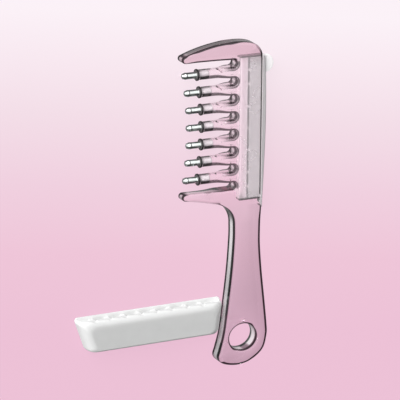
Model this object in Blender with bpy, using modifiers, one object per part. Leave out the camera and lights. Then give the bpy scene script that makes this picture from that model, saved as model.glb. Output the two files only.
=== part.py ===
"""Applicator comb, lying on its side face with its tooth cover taken off and laid beside the handle.

A hollow spine holds the liquid, seven hollow teeth lead it to steel nozzles with a roller ball each,
a silicone lid plugs the spine from behind, and a silicone cover slips over the whole row of teeth.

X runs from the tooth tips to the back of the spine, Y from the end of the handle to the top of the
arch, and Z up from the surface that the comb lies on. The comb is laid out round a point of its own,
the lower corner of its spine at half its thickness, and the frame empty then puts the middle of the
whole footprint at the origin.
"""

import math

import bmesh
import bpy
from mathutils import Vector
from mathutils.geometry import delaunay_2d_cdt

MM = 0.001

# Body: one moulded plate with rounded edges
HALF_THICKNESS = 5.0 * MM
EDGE_RADIUS = 1.1 * MM
EDGE_STEPS = 3
SPINE_BACK = 10.4 * MM
ROOT_X = -4.8 * MM
ARCH_UNDERSIDE = 80.45 * MM
ARCH_TIP = (-34.4 * MM, 82.1 * MM)
ARCH_TIP_RADIUS = 1.8 * MM
GUARD_TOP = 7.6 * MM
GUARD_TIP = (-33.35 * MM, 5.6 * MM)
GUARD_TIP_RADIUS = 1.85 * MM
THROAT_CENTRE = (-18.0 * MM, -12.4 * MM)
THROAT_RADIUS = 13.0 * MM

# Top edge of the arch: points that it passes through, from the spine's back towards the tip
ARCH_TOP_MM = (
    (10.4, 79.0), (10.1, 82.0), (8.9, 84.5), (6.5, 86.85), (2.5, 88.3),
    (-3.3, 89.0), (-9.8, 88.95), (-16.2, 88.3), (-22.6, 87.15), (-29.0, 85.5),
)

# Handle: points that its two edges pass through, from the spine down and back up
HANDLE_RIGHT_MM = ((10.8, -3.0), (10.6, -15.0), (10.7, -25.0), (11.9, -39.5), (13.85, -56.5))
HANDLE_END_MM = (
    (15.3, -70.0), (15.5, -76.3), (13.4, -84.2), (7.6, -89.4), (-0.3, -91.8),
    (-7.1, -91.4), (-11.9, -89.5), (-13.6, -86.4), (-12.5, -82.2),
)
HANDLE_LEFT_MM = ((-10.2, -73.0), (-8.1, -56.5), (-6.1, -38.0), (-5.0, -21.0))
HANG_HOLE_CENTRE = (0.9 * MM, -76.2 * MM)
HANG_HOLE_HALF = (8.2 * MM, 7.65 * MM)

# Teeth: hollow pins that thicken into the spine
TOOTH_COUNT = 7
TOOTH_PITCH = 9.8 * MM
FIRST_TOOTH_Y = 73.4 * MM
TOOTH_RADIUS = 2.8 * MM
TIP_ARC_RADIUS = 180.0 * MM
TIP_ARC_Y = 40.1 * MM
DEEPEST_TIP_X = -32.5 * MM

# How thick the body is from the tips to the spine: (thin until, full from, thin half thickness)
ARCH_TAPER = (-18.0 * MM, 2.0 * MM, 3.4 * MM)
TOOTH_TAPER = (-15.5 * MM, -7.5 * MM, TOOTH_RADIUS)
GUARD_TAPER = (-23.0 * MM, -13.0 * MM, 3.0 * MM)

# How far the edges of the teeth are rounded, and where that begins
PIN_ROUNDING = (-15.5 * MM, -12.5 * MM)
TOOTH_ROUNDING = 2.6 * MM

# Tank: the hollow in the spine, open at the back
TANK_LEFT = -2.6 * MM
TANK_BOTTOM = 0.9 * MM
TANK_TOP = 80.9 * MM
TANK_HALF_DEPTH = 3.5 * MM
THUMB_NOTCH_DEPTH = 2.6 * MM

# Nozzle, measured back from the tip of its ball
BALL_RADIUS = 1.3 * MM
NOZZLE_LIP = 0.6 * MM
NOZZLE_BEAD = (1.9 * MM, 2.5 * MM)
NOZZLE_BEAD_RADIUS = 1.85 * MM
NOZZLE_RADIUS = 1.5 * MM
FLANGE = (8.5 * MM, 9.4 * MM)
FLANGE_RADIUS = 3.2 * MM
SHANK_END = 15.5 * MM
SHANK_RADIUS = 1.85 * MM
NOZZLE_BORE_RADIUS = 0.7 * MM
BALL_CLEARANCE = 0.2 * MM
FIT_GAP = 0.3 * MM
SEAT_RADIUS = 2.25 * MM
FEED_RADIUS = 1.5 * MM
ROUND_SIDES = 12

# Lid: plug in the tank, flange on the back of the spine, pull tab near the top
PLUG_DEPTH = 8.2 * MM
PLUG_NOTCH = (1.2 * MM, 0.7 * MM)
PLUG_NOTCH_PLACES_MM = (-32.3, -24.4, -12.0, 0.0, 12.0, 24.4, 32.3)
LID_FLANGE_BOTTOM = -3.4 * MM
LID_FLANGE_TOP = 80.6 * MM
LID_FLANGE_HALF_WIDTH = 4.4 * MM
LID_BULGE_MM = ((11.0, -2.6), (11.9, 15.0), (12.7, 41.0), (12.6, 64.0), (12.1, 75.0))
TAB_CENTRE_Y = 75.0 * MM
TAB_HALF_LENGTH = 4.8 * MM
TAB_REACH = 18.2 * MM
TAB_HALF_THICKNESS = 1.3 * MM
SOFT_EDGE = 0.5 * MM

# Tooth cover: a flat cap that lies on one broad side. From the left corner of its mouth X runs along
# the mouth, Y out of it and Z up
COVER_PLACE = (-95.3 * MM, -55.85 * MM)
COVER_TURN = math.radians(1.0)
COVER_LENGTH = 86.0 * MM
COVER_DEPTH = 18.9 * MM
COVER_HEIGHT = 8.9 * MM
COVER_NARROWING = (6.4 * MM, 2.7 * MM)
COVER_WALL = 1.2 * MM
COVER_LIP = 1.0 * MM
COVER_MOUTH_HEIGHT = 4.3 * MM
COVER_CORNERS = (1.7 * MM, 3.3 * MM)

# How each upper edge of the cover is rounded: (inward, down) along the mouth, the ends and the back
MOUTH_ROUNDING = (4.0 * MM, 2.2 * MM)
END_ROUNDING = (5.5 * MM, 6.6 * MM)
BACK_ROUNDING = (1.6 * MM, 3.4 * MM)
RIB_COUNT = 8
RIB_FIRST = 9.8 * MM
RIB_PITCH = 9.03 * MM
RIB_THICKNESS = 2.2 * MM
SCALLOP_RADIUS = 2.2 * MM
SCALLOP_DEPTH = 0.8 * MM

ROUND_END_STEPS = 6


def clear_scene():
    for obj in list(bpy.data.objects):
        bpy.data.objects.remove(obj, do_unlink=True)


def new_collection(name):
    collection = bpy.data.collections.new(name)
    bpy.context.scene.collection.children.link(collection)
    return collection


def make_material(name, colour, roughness, metallic=0.0, transmission=0.0):
    material = bpy.data.materials.new(name)
    material.use_nodes = True
    shader = material.node_tree.nodes["Principled BSDF"]
    shader.inputs["Base Color"].default_value = (*colour, 1.0)
    shader.inputs["Roughness"].default_value = roughness
    shader.inputs["Metallic"].default_value = metallic
    shader.inputs["Transmission Weight"].default_value = transmission
    material.diffuse_color = (*colour, 1.0)
    return material


def object_from_bmesh(name, mesh_data, collection, material=None):
    mesh = bpy.data.meshes.new(name)
    mesh_data.to_mesh(mesh)
    mesh_data.free()
    obj = bpy.data.objects.new(name, mesh)
    collection.objects.link(obj)
    if material is not None:
        mesh.materials.append(material)
    return obj


def as_cutter(obj):
    obj.hide_render = True
    obj.display_type = "WIRE"
    return obj


def add_boolean(obj, operation, other=None, collection=None):
    modifier = obj.modifiers.new(operation.title(), "BOOLEAN")
    modifier.operation = operation
    modifier.solver = "EXACT"
    if collection is None:
        modifier.object = other
    else:
        modifier.operand_type = "COLLECTION"
        modifier.collection = collection
    return modifier


def shade_round(obj, angle=40.0):
    obj.data.shade_smooth()
    obj.data.set_sharp_from_angle(angle=math.radians(angle))


def ramp(value, low, high):
    """0 below low, 1 above high, and a smooth change between them."""
    share = min(max((value - low) / (high - low), 0.0), 1.0)
    return share * share * (3.0 - 2.0 * share)


def mix(first, second, share):
    return first + (second - first) * share


def arc(centre, radius, start, end, steps):
    """Points on an arc, its ends among them; angles in degrees."""
    points = []
    for step in range(steps + 1):
        angle = math.radians(mix(start, end, step / steps))
        points.append((centre[0] + radius * math.cos(angle), centre[1] + radius * math.sin(angle)))
    return points


def smooth_through(points, steps):
    """A Catmull-Rom curve through the points from the second to the last but one."""
    curve = []
    for before, start, end, after in zip(points, points[1:], points[2:], points[3:]):
        for step in range(steps):
            t = step / steps
            curve.append(tuple(
                0.5 * (
                    2 * b + (c - a) * t
                    + (2 * a - 5 * b + 4 * c - d) * t**2
                    + (3 * b - a - 3 * c + d) * t**3
                )
                for a, b, c, d in zip(before, start, end, after)
            ))
    curve.append(points[-2])
    return curve


def straight(start, end, steps):
    """Points from start to end, without the last one."""
    return [
        (mix(start[0], end[0], step / steps), mix(start[1], end[1], step / steps))
        for step in range(steps)
    ]


def in_metres(points):
    return [(x * MM, y * MM) for x, y in points]


def tooth_y(index):
    return FIRST_TOOTH_Y - index * TOOTH_PITCH


def tip_x(index):
    """Where a nozzle's ball ends: the tips lie on a wide arc that dips at the middle of the row."""
    along = tooth_y(index) - TIP_ARC_Y
    return DEEPEST_TIP_X - along * along / (2.0 * TIP_ARC_RADIUS)


def tooth_end(index):
    return tip_x(index) + FLANGE[1] + FIT_GAP


def slot_end(upper, lower):
    """The rounded inner end of the gap between two teeth."""
    radius = (upper - lower) / 2.0
    return arc((ROOT_X - radius, (upper + lower) / 2.0), radius, 90.0, -90.0, ROUND_END_STEPS)


def arch_outline():
    """Over the shoulder, along the top of the arch to its tip, and back underneath."""
    tip = arc(ARCH_TIP, ARCH_TIP_RADIUS, 108.0, 270.0, 8)
    below = (SPINE_BACK, 74.0 * MM)
    beyond = (tip[0][0] - 6.0 * MM, tip[0][1] - 2.2 * MM)
    top = smooth_through([below, *in_metres(ARCH_TOP_MM), tip[0], beyond], 2)[:-1]
    underside = straight(tip[-1], (ROOT_X - 8.0 * MM, ARCH_UNDERSIDE), 6)[1:]
    underside += straight((ROOT_X - 8.0 * MM, ARCH_UNDERSIDE), (ROOT_X - 2.5 * MM, ARCH_UNDERSIDE), 3)
    return top + tip + underside


def tooth_outline(index):
    """Out along the top of a tooth, past its end, and back along its underside."""
    y = tooth_y(index)
    stations = [mix(ROOT_X - 3.2 * MM, TOOTH_TAPER[0], step / 5) for step in range(6)]
    stations += [-19.0 * MM]
    beyond = (tooth_end(index) - 0.5 * MM, y)
    nose = arc(beyond, TOOTH_RADIUS, 90.0, 270.0, 6)
    top = [(x, y + TOOTH_RADIUS) for x in stations]
    bottom = [(x, y - TOOTH_RADIUS) for x in reversed(stations)]
    return top + nose + bottom


def guard_outline():
    """The lower guard, and the throat that leads from it into the handle."""
    tip = arc(GUARD_TIP, GUARD_TIP_RADIUS, 92.0, 262.0, 8)
    top = straight((ROOT_X - 3.5 * MM, GUARD_TOP), tip[0], 10)
    throat = arc(THROAT_CENTRE, THROAT_RADIUS, 86.0, 0.0, 12)
    underside = straight(tip[-1], throat[0], 7)[1:]
    return top + tip + underside + throat


def handle_outline():
    """Down the left edge, round the end with its hole, and up the right edge."""
    right = in_metres(HANDLE_RIGHT_MM)
    end = in_metres(HANDLE_END_MM)
    left = in_metres(HANDLE_LEFT_MM)
    throat_foot = (THROAT_CENTRE[0] + THROAT_RADIUS, THROAT_CENTRE[1])
    above_throat = (throat_foot[0], throat_foot[1] + 6.0 * MM)
    spine_foot = (SPINE_BACK, 2.0 * MM)
    around = [spine_foot, *right, *end, *left, throat_foot]
    path = [(SPINE_BACK, 12.0 * MM), *around, above_throat]
    return list(reversed(smooth_through(path, 4)))[1:]


def body_outline():
    """The whole outline, counter-clockwise as seen from above."""
    outline = arch_outline()
    upper = ARCH_UNDERSIDE
    for index in range(TOOTH_COUNT):
        outline += slot_end(upper, tooth_y(index) + TOOTH_RADIUS)
        outline += tooth_outline(index)
        upper = tooth_y(index) - TOOTH_RADIUS
    outline += slot_end(upper, GUARD_TOP)
    outline += guard_outline()
    outline += handle_outline()
    outline += straight((SPINE_BACK, 8.0 * MM), (SPINE_BACK, 79.0 * MM), 8)
    return outline


def hang_hole_outline():
    points = []
    count = 28
    for step in range(count):
        angle = -2.0 * math.pi * step / count
        points.append((
            HANG_HOLE_CENTRE[0] + HANG_HOLE_HALF[0] * math.cos(angle),
            HANG_HOLE_CENTRE[1] + HANG_HOLE_HALF[1] * math.sin(angle),
        ))
    return points


def half_thickness(x, y):
    """Half the body's thickness: full in the spine and handle, thinner out along the teeth."""
    def tapered(taper):
        return mix(taper[2], HALF_THICKNESS, ramp(x, taper[0], taper[1]))

    if y > 40.0 * MM:
        return mix(tapered(TOOTH_TAPER), tapered(ARCH_TAPER), ramp(y, 77.0 * MM, 82.0 * MM))
    thickness = mix(tapered(GUARD_TAPER), tapered(TOOTH_TAPER), ramp(y, 8.0 * MM, 11.0 * MM))
    return mix(HALF_THICKNESS, thickness, ramp(y, -5.0 * MM, 1.0 * MM))


def edge_radius(x, y):
    """Nearly a full round on the pins, and small everywhere else."""
    if not GUARD_TOP + 1.0 * MM < y < ARCH_UNDERSIDE - 1.0 * MM:
        return EDGE_RADIUS
    return mix(EDGE_RADIUS, TOOTH_ROUNDING, ramp(-x, -PIN_ROUNDING[1], -PIN_ROUNDING[0]))


def inward_normals(points):
    """Unit-width offsets to the left of the path, lengthened at corners so that walls stay parallel."""
    normals = []
    count = len(points)
    for index, point in enumerate(points):
        into = Vector(point) - Vector(points[index - 1])
        out = Vector(points[(index + 1) % count]) - Vector(point)
        into.normalize()
        out.normalize()
        middle = Vector((-into.y - out.y, into.x + out.x)).normalized()
        spread = max(middle.dot(Vector((-into.y, into.x))), 0.5)
        normals.append(middle / spread)
    return normals


def inside(point, loop):
    crossings = 0
    for (x1, y1), (x2, y2) in zip(loop, loop[1:] + loop[:1]):
        if (y1 > point[1]) != (y2 > point[1]):
            if point[0] < x1 + (point[1] - y1) * (x2 - x1) / (y2 - y1):
                crossings += 1
    return crossings % 2 == 1


def face_points(loops, spacing):
    """A grid of points inside the flat face, where the plate tapers, so that it bends smoothly."""
    grid = []
    for column in range(14):
        for row in range(4):
            point = (-33.0 * MM + column * spacing, 82.4 * MM + row * 1.9 * MM)
            margin = [(point[0] + dx, point[1] + dy) for dx, dy in ((0.8 * MM, 0), (-0.8 * MM, 0),
                                                                    (0, 0.8 * MM), (0, -0.8 * MM))]
            if all(inside(near, loops[0]) for near in margin):
                grid.append(point)
    return grid


def rounded_plate(name, loops, collection, material):
    """A plate of the given outlines with rounded edges, whose thickness follows half_thickness."""
    mesh = bmesh.new()
    rings = {1: [], -1: []}
    for loop in loops:
        normals = inward_normals(loop)
        for side in (1, -1):
            levels = []
            for step in range(EDGE_STEPS + 1):
                angle = math.radians(90.0 * step / EDGE_STEPS)
                ring = []
                for (x, y), normal in zip(loop, normals):
                    radius = edge_radius(x, y)
                    inset = radius * (1.0 - math.cos(angle))
                    height = half_thickness(x, y) - radius + radius * math.sin(angle)
                    ring.append(mesh.verts.new((x + normal.x * inset, y + normal.y * inset, side * height)))
                levels.append(ring)
            rings[side].append(levels)
    for upper_levels, lower_levels in zip(rings[1], rings[-1]):
        bands = list(reversed(upper_levels)) + lower_levels
        for upper, lower in zip(bands, bands[1:]):
            count = len(upper)
            for index in range(count):
                after = (index + 1) % count
                mesh.faces.new((upper[index], lower[index], lower[after], upper[after]))
    for side in (1, -1):
        fill_face(mesh, [levels[-1] for levels in rings[side]], side)
    bmesh.ops.recalc_face_normals(mesh, faces=mesh.faces)
    return object_from_bmesh(name, mesh, collection, material)


def fill_face(mesh, border_rings, side):
    """Triangles between the inner rings of one face and its grid points."""
    verts = [vert for ring in border_rings for vert in ring]
    edges = []
    first = 0
    for ring in border_rings:
        count = len(ring)
        edges += [(first + index, first + (index + 1) % count) for index in range(count)]
        first += count
    loops = [[(vert.co.x, vert.co.y) for vert in ring] for ring in border_rings]
    for x, y in face_points(loops, 2.9 * MM):
        verts.append(mesh.verts.new((x, y, side * half_thickness(x, y))))
    flat = [Vector((vert.co.x, vert.co.y)) / MM for vert in verts]
    points, _, faces, sources, _, _ = delaunay_2d_cdt(flat, edges, [], 2, 1e-5)
    chosen = [verts[source[0]] for source in sources]
    assert len(points) == len(chosen)
    hole = loops[1] if len(loops) > 1 else None
    for face in faces:
        corners = [chosen[index] for index in face]
        middle = (sum(v.co.x for v in corners) / 3.0, sum(v.co.y for v in corners) / 3.0)
        if inside(middle, loops[0]) and not (hole and inside(middle, hole)):
            mesh.faces.new(corners if side > 0 else corners[::-1])


def turned(name, profile, place, collection, material=None, sides=ROUND_SIDES):
    """A solid of revolution about the X axis: the profile is (x, radius), from the left end to the
    right, and starts and ends on the axis. It is turned about Z and then laid along X."""
    mesh = bpy.data.meshes.new(name)
    verts = [(radius, 0.0, -x) for x, radius in profile]
    mesh.from_pydata(verts, [(index, index + 1) for index in range(len(verts) - 1)], [])
    obj = bpy.data.objects.new(name, mesh)
    collection.objects.link(obj)
    obj.location = place
    obj.rotation_euler = (0.0, math.radians(-90.0), 0.0)
    screw = obj.modifiers.new("Turn", "SCREW")
    screw.axis = "Z"
    screw.angle = math.radians(360.0)
    screw.steps = sides
    screw.render_steps = sides
    screw.use_merge_vertices = True
    screw.merge_threshold = 0.00001
    screw.use_smooth_shade = True
    if material is not None:
        mesh.materials.append(material)
    return obj


def rounded_box(name, low, high, radius, collection, segments=2, material=None):
    mesh = bmesh.new()
    bmesh.ops.create_cube(mesh, size=1.0)
    size = [h - l for l, h in zip(low, high)]
    middle = [(h + l) / 2.0 for l, h in zip(low, high)]
    bmesh.ops.scale(mesh, vec=size, verts=mesh.verts)
    bmesh.ops.translate(mesh, vec=middle, verts=mesh.verts)
    obj = object_from_bmesh(name, mesh, collection, material)
    if radius > 0.0:
        bevel = obj.modifiers.new("Edges", "BEVEL")
        bevel.width = radius
        bevel.segments = segments
        bevel.limit_method = "NONE"
    return obj


def flat_outline(name, points, half_depth, edge, collection, material=None):
    """A flat shape cut from sheet: the outline filled, thickened to both sides and eased at its edges."""
    curve = bpy.data.curves.new(name, "CURVE")
    curve.dimensions = "2D"
    curve.fill_mode = "BOTH"
    curve.extrude = half_depth - edge
    curve.bevel_depth = edge
    curve.bevel_resolution = 1
    curve.offset = -edge
    spline = curve.splines.new("POLY")
    spline.points.add(len(points) - 1)
    for point, (x, y) in zip(spline.points, points):
        point.co = (x, y, 0.0, 1.0)
    spline.use_cyclic_u = True
    source = bpy.data.objects.new(name + "_curve", curve)
    collection.objects.link(source)
    evaluated = source.evaluated_get(bpy.context.evaluated_depsgraph_get())
    mesh = bpy.data.meshes.new_from_object(evaluated)
    bpy.data.objects.remove(source, do_unlink=True)
    data = bmesh.new()
    data.from_mesh(mesh)
    bpy.data.meshes.remove(mesh)
    bmesh.ops.remove_doubles(data, verts=data.verts, dist=0.002 * MM)
    bmesh.ops.recalc_face_normals(data, faces=data.faces)
    return object_from_bmesh(name, data, collection, material)


def make_body(parts, cutters, material):
    body = rounded_plate("comb_body", [body_outline(), hang_hole_outline()], parts, material)
    as_cutter(rounded_box(
        "tank_space",
        (TANK_LEFT, TANK_BOTTOM, -TANK_HALF_DEPTH),
        (SPINE_BACK + 4.0 * MM, TANK_TOP, TANK_HALF_DEPTH),
        0.8 * MM, cutters,
    ))
    for index in range(TOOTH_COUNT):
        make_tooth_bore(index, cutters)
    make_thumb_notch(cutters)
    add_boolean(body, "DIFFERENCE", collection=cutters)
    shade_round(body)
    return body


def make_tooth_bore(index, cutters):
    """Cuts the tooth off square, and drills the nozzle's seat and the way through to the tank."""
    start = tooth_end(index)
    seat = tip_x(index) + SHANK_END + FIT_GAP - start
    depth = TANK_LEFT + 2.0 * MM - start
    clear = TOOTH_RADIUS + 0.9 * MM
    profile = [
        (-6.0 * MM, 0.0), (-6.0 * MM, clear), (0.0, clear),
        (0.0, SEAT_RADIUS), (seat, SEAT_RADIUS), (seat + 0.6 * MM, FEED_RADIUS),
        (depth, FEED_RADIUS), (depth, 0.0),
    ]
    as_cutter(turned(f"bore_{index + 1}", profile, (start, tooth_y(index), 0.0), cutters))


def make_thumb_notch(cutters):
    """A slanting cut under the lower end of the lid, where a nail lifts it."""
    points = [
        (SPINE_BACK - THUMB_NOTCH_DEPTH, 0.2 * MM),
        (SPINE_BACK + 0.4 * MM, -3.2 * MM),
        (SPINE_BACK + 3.0 * MM, -3.2 * MM),
        (SPINE_BACK + 3.0 * MM, 2.4 * MM),
        (SPINE_BACK - THUMB_NOTCH_DEPTH, 2.4 * MM),
    ]
    as_cutter(flat_outline("thumb_notch", points[::-1], 8.0 * MM, 0.0, cutters))


def make_nozzle(index, parts, material):
    """Crimped nose, bead, tube, flange and the shank that sits in the tooth, bored through."""
    inner = BALL_RADIUS + BALL_CLEARANCE
    opening = math.sqrt(BALL_RADIUS**2 - (BALL_RADIUS - NOZZLE_LIP) ** 2) + 0.1 * MM
    cup_floor = 2.0 * BALL_RADIUS + BALL_CLEARANCE
    profile = [
        (NOZZLE_LIP, opening), (NOZZLE_LIP, opening + 0.25 * MM),
        (1.2 * MM, 1.62 * MM), (NOZZLE_BEAD[0] - 0.1 * MM, 1.74 * MM),
        (NOZZLE_BEAD[0], NOZZLE_BEAD_RADIUS), (NOZZLE_BEAD[1], NOZZLE_BEAD_RADIUS),
        (NOZZLE_BEAD[1] + 0.3 * MM, NOZZLE_RADIUS), (FLANGE[0], NOZZLE_RADIUS),
        (FLANGE[0], FLANGE_RADIUS), (FLANGE[1], FLANGE_RADIUS), (FLANGE[1], SHANK_RADIUS),
        (SHANK_END, SHANK_RADIUS), (SHANK_END, NOZZLE_BORE_RADIUS),
        (cup_floor, NOZZLE_BORE_RADIUS), (cup_floor - 0.5 * MM, inner * 0.86),
        (BALL_RADIUS + 0.4 * MM, inner), (BALL_RADIUS, inner), (NOZZLE_LIP, opening),
    ]
    place = (tip_x(index), tooth_y(index), 0.0)
    nozzle = turned(f"nozzle_{index + 1}", profile[:-1], place, parts, material)
    close_profile(nozzle.data)
    return nozzle


def close_profile(mesh):
    """Joins a profile's last point to its first, so that turning it gives a tube."""
    data = bmesh.new()
    data.from_mesh(mesh)
    data.verts.ensure_lookup_table()
    data.edges.new((data.verts[-1], data.verts[0]))
    data.to_mesh(mesh)
    data.free()


def make_ball(index, parts, material):
    mesh = bmesh.new()
    bmesh.ops.create_uvsphere(mesh, u_segments=12, v_segments=8, radius=BALL_RADIUS)
    ball = object_from_bmesh(f"ball_{index + 1}", mesh, parts, material)
    ball.location = (tip_x(index) + BALL_RADIUS, tooth_y(index), 0.0)
    ball.data.shade_smooth()
    return ball


def plug_outline():
    """The plug fills the back of the tank, and its inner edge has small notches along it."""
    inner = SPINE_BACK - PLUG_DEPTH
    bottom = TANK_BOTTOM + FIT_GAP
    top = TANK_TOP - FIT_GAP
    points = [(SPINE_BACK + 1.2 * MM, bottom), (SPINE_BACK + 1.2 * MM, top), (inner, top)]
    for place in reversed(PLUG_NOTCH_PLACES_MM):
        y = (bottom + top) / 2.0 + place * MM
        half = PLUG_NOTCH[0] / 2.0
        points += [
            (inner, y + half), (inner + PLUG_NOTCH[1], y + half),
            (inner + PLUG_NOTCH[1], y - half), (inner, y - half),
        ]
    points.append((inner, bottom))
    return points


def lid_flange_outline():
    """A strip along the back of the spine that bulges a little at its middle."""
    inner = SPINE_BACK + FIT_GAP
    bulge = in_metres(LID_BULGE_MM)
    start = (SPINE_BACK + 0.35 * MM, LID_FLANGE_BOTTOM)
    end = (SPINE_BACK + 0.9 * MM, LID_FLANGE_TOP)
    outer = smooth_through([start, *bulge, end], 3)
    return [(inner, LID_FLANGE_BOTTOM + 0.4 * MM), *outer, (SPINE_BACK + 1.3 * MM, 79.6 * MM), (inner, 80.2 * MM)]


def tab_outline():
    """A half-round tab to pull the lid out by."""
    root = SPINE_BACK + 1.0 * MM
    reach = TAB_REACH - root
    low = TAB_CENTRE_Y - TAB_HALF_LENGTH
    high = TAB_CENTRE_Y + TAB_HALF_LENGTH
    points = [(root, low)]
    for step in range(9):
        angle = math.radians(-80.0 + 160.0 * step / 8)
        points.append((
            root + reach * (0.35 + 0.65 * math.cos(angle)),
            TAB_CENTRE_Y + TAB_HALF_LENGTH * math.sin(angle) / math.sin(math.radians(80.0)),
        ))
    points.append((root, high))
    return points


def make_lid(parts, cutters, material):
    lid = flat_outline("tank_lid", lid_flange_outline(), LID_FLANGE_HALF_WIDTH, SOFT_EDGE, parts, material)
    plug = flat_outline("lid_plug", plug_outline(), TANK_HALF_DEPTH - FIT_GAP, 0.0, cutters)
    tab = flat_outline("lid_tab", tab_outline(), TAB_HALF_THICKNESS, SOFT_EDGE, cutters)
    for piece in (plug, tab):
        add_boolean(lid, "UNION", other=as_cutter(piece))
    shade_round(lid)
    return lid


def rounded_polygon(corners, radii, steps):
    """The polygon with each corner replaced by an arc, counter-clockwise."""
    points = []
    count = len(corners)
    for index, corner in enumerate(corners):
        here = Vector(corner)
        back = (Vector(corners[index - 1]) - here).normalized()
        ahead = (Vector(corners[(index + 1) % count]) - here).normalized()
        half = back.angle(ahead) / 2.0
        reach = radii[index] / math.tan(half)
        centre = here + (back + ahead).normalized() * (radii[index] / math.sin(half))
        start = here + back * reach - centre
        sweep = math.pi - 2.0 * half
        for step in range(steps + 1):
            turn = sweep * step / steps
            points.append((
                centre.x + start.x * math.cos(turn) - start.y * math.sin(turn),
                centre.y + start.x * math.sin(turn) + start.y * math.cos(turn),
            ))
    return points


def rounded_inset(rounding, height):
    """How far an upper edge has come in at this height, on a quarter of an ellipse."""
    inward, down = rounding
    share = (height - (COVER_HEIGHT - down)) / down
    if share <= 0.0:
        return 0.0
    return inward * (1.0 - math.sqrt(max(1.0 - share * share, 0.0)))


def cover_section(height, mouth, ends, back, corners):
    """One level of the cover: the mouth at the top, the closed side shorter by the slanting ends."""
    left, right = (narrowing / COVER_DEPTH for narrowing in COVER_NARROWING)
    closed = back - COVER_DEPTH
    outline = [
        (COVER_LENGTH - ends + right * mouth, mouth), (ends - left * mouth, mouth),
        (ends - left * closed, closed), (COVER_LENGTH - ends + right * closed, closed),
    ]
    radii = (corners[0], corners[0], corners[1], corners[1])
    return [(x, y, height) for x, y in rounded_polygon(outline, radii, 4)]


def cover_outside():
    """Levels of the outer skin: the floor wall's lip, then the body, then the rounded upper edges."""
    near, far = COVER_CORNERS
    levels = [
        cover_section(0.0, -0.4 * MM, 0.4 * MM, 0.4 * MM, (near, far)),
        cover_section(0.4 * MM, 0.0, 0.0, 0.0, (near, far)),
        cover_section(COVER_WALL, 0.0, 0.0, 0.0, (near, far)),
    ]
    heights = [COVER_WALL + 0.05 * MM]
    heights += [COVER_HEIGHT - END_ROUNDING[1] * share for share in (0.85, 0.6, 0.33, 0.2, 0.1, 0.03, 0.0)]
    for height in heights:
        softness = ramp(height, 0.5 * COVER_HEIGHT, COVER_HEIGHT)
        levels.append(cover_section(
            height,
            -COVER_LIP - rounded_inset(MOUTH_ROUNDING, height),
            rounded_inset(END_ROUNDING, height),
            rounded_inset(BACK_ROUNDING, height),
            (near + softness * 2.0 * MM, far),
        ))
    return levels


def cover_inside():
    """Levels of the hollow, which runs out through the mouth."""
    wall = COVER_WALL
    corners = (0.4 * MM, COVER_CORNERS[1] - wall)
    front = 3.0 * MM
    roof = wall + COVER_MOUTH_HEIGHT
    levels = []
    for height in (wall, 0.5 * (wall + roof), roof):
        ends = rounded_inset(END_ROUNDING, height + wall) + wall
        levels.append(cover_section(height, front, ends, wall, corners))
    top = COVER_HEIGHT - wall
    for share in (0.0, 0.4, 0.75, 1.0):
        height = mix(roof + 0.05 * MM, top, share)
        levels.append(cover_section(
            height,
            -COVER_LIP - 0.6 * MM - rounded_inset(MOUTH_ROUNDING, height + wall),
            rounded_inset(END_ROUNDING, height + wall) + wall,
            rounded_inset(BACK_ROUNDING, height + wall) + wall,
            corners,
        ))
    return levels


def lofted(name, levels, collection, material=None):
    """A closed skin through sections that have the same number of points."""
    mesh = bmesh.new()
    rings = [[mesh.verts.new(point) for point in level] for level in levels]
    for lower, upper in zip(rings, rings[1:]):
        count = len(lower)
        for index in range(count):
            after = (index + 1) % count
            mesh.faces.new((lower[index], lower[after], upper[after], upper[index]))
    mesh.faces.new(rings[0][::-1])
    mesh.faces.new(rings[-1])
    return object_from_bmesh(name, mesh, collection, material)


def make_cover(parts, pieces, frame, material):
    """A cap with ribs that stand between the teeth; its mouth is scalloped in front of each rib."""
    cover = lofted("tooth_cover", cover_outside(), parts, material)
    hollow = as_cutter(lofted("cover_space", cover_inside(), pieces))
    rib_front = -COVER_LIP - SCALLOP_DEPTH
    for index in range(RIB_COUNT):
        x = RIB_FIRST + index * RIB_PITCH
        rib = rounded_box(
            f"rib_{index + 1}",
            (x - RIB_THICKNESS / 2.0, -COVER_DEPTH - 1.0 * MM, -1.0 * MM),
            (x + RIB_THICKNESS / 2.0, rib_front, COVER_HEIGHT + 1.0 * MM),
            0.0, pieces,
        )
        add_boolean(hollow, "DIFFERENCE", other=as_cutter(rib))
        add_boolean(cover, "DIFFERENCE", other=make_scallop(index, x, pieces))
    add_boolean(cover, "DIFFERENCE", other=hollow)
    for piece in [cover, *pieces.objects]:
        piece.parent = frame
    shade_round(cover)
    return cover


def make_scallop(index, x, pieces):
    """A round bite out of the mouth's upper edge, down to the lip."""
    mesh = bmesh.new()
    height = COVER_HEIGHT + 2.0 * MM
    bmesh.ops.create_cone(
        mesh, cap_ends=True, segments=32, radius1=SCALLOP_RADIUS, radius2=SCALLOP_RADIUS, depth=height,
    )
    y = -COVER_LIP - SCALLOP_DEPTH + SCALLOP_RADIUS
    bmesh.ops.translate(mesh, vec=(x, y, COVER_WALL + height / 2.0), verts=mesh.verts)
    return as_cutter(object_from_bmesh(f"scallop_{index + 1}", mesh, pieces))


def footprint_middle(objects):
    """The middle of the layout seen from above, and the height of its lowest point."""
    graph = bpy.context.evaluated_depsgraph_get()
    points = []
    for obj in objects:
        evaluated = obj.evaluated_get(graph)
        points += [evaluated.matrix_world @ vert.co for vert in evaluated.data.vertices]
    low = [min(point[axis] for point in points) for axis in range(3)]
    high = [max(point[axis] for point in points) for axis in range(3)]
    return Vector(((low[0] + high[0]) / 2.0, (low[1] + high[1]) / 2.0, low[2]))


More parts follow.
